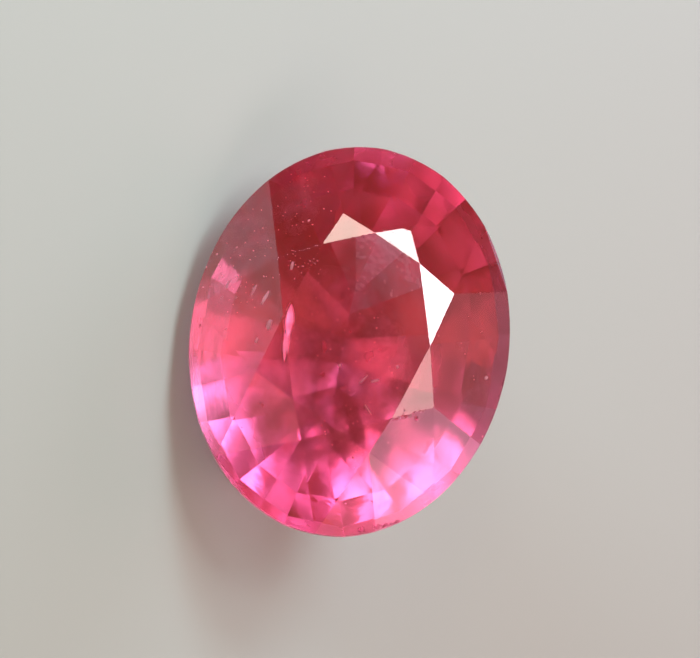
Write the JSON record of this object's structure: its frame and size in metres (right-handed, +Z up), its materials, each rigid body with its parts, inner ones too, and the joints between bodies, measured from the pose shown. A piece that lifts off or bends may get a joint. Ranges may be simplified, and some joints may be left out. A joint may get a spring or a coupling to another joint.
{
  "type": "oval-cut ruby gemstone",
  "caption": "Loose oval faceted ruby, brilliant-cut crown over a step-cut pavilion, lying on one long pavilion facet with its table up and forward.",
  "frame": {"origin": "middle of the footprint of the stone's box, on the surface that it rests on", "axes": "+X along the stone's long axis, +Z up out of the resting facet, and the table faces -Y and up"},
  "size_m": [0.0124, 0.0078, 0.0073],
  "materials": {
    "ruby": "polished transparent corundum, IOR 1.766, deep purplish red by absorption"
  },
  "bodies": {
    "root": {"ruby": "ruby"}
  },
  "joints": []
}
